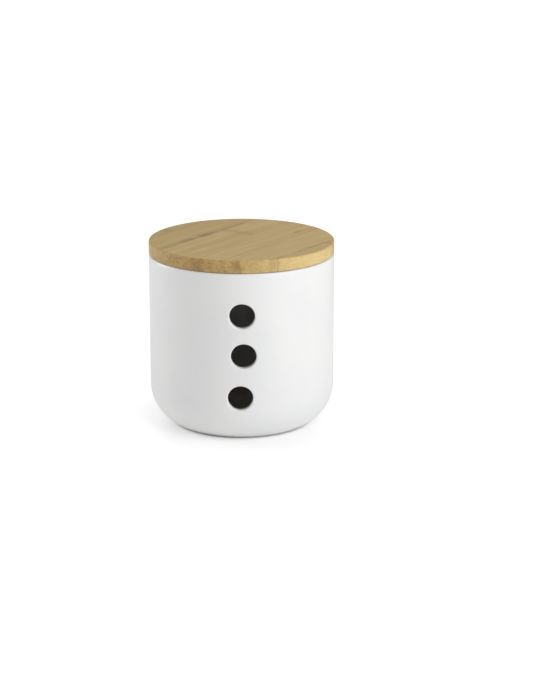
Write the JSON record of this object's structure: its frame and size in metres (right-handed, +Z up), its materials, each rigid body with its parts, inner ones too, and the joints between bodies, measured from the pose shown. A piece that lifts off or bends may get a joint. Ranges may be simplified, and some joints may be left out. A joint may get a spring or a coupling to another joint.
{
  "type": "garlic keeper",
  "caption": "Round stoneware keeper with vent holes up its front and a lift-off bamboo lid that a silicone ring seals.",
  "frame": {"origin": "middle of the pot's footprint, on the face that it stands on", "axes": "+Z up along the pot's axis, -Y towards the front where the vents are, +X to the right seen from the front"},
  "size_m": [0.12, 0.12, 0.1205],
  "materials": {
    "glazed_stoneware": "satin white glaze, bare foot ring",
    "bamboo_board": "oiled, flat-pressed strips",
    "bamboo_plug": "oiled, flat-pressed strips",
    "silicone": "matte, slightly clear"
  },
  "bodies": {
    "pot": {"pot": "glazed_stoneware"},
    "lid": {"board_strip_1": "bamboo_board", "board_strip_2": "bamboo_board", "board_strip_3": "bamboo_board", "board_strip_4": "bamboo_board", "board_strip_5": "bamboo_board", "board_strip_6": "bamboo_board", "plug_strip_1": "bamboo_plug", "plug_strip_2": "bamboo_plug", "plug_strip_3": "bamboo_plug", "plug_strip_4": "bamboo_plug", "plug_strip_5": "bamboo_plug", "seal_ring": "silicone"}
  },
  "joints": [
    {"name": "lid_lift", "type": "slide", "parent": "pot", "child": "lid", "axis": [0, 0, 1], "range_m": [0, 0.15]}
  ]
}
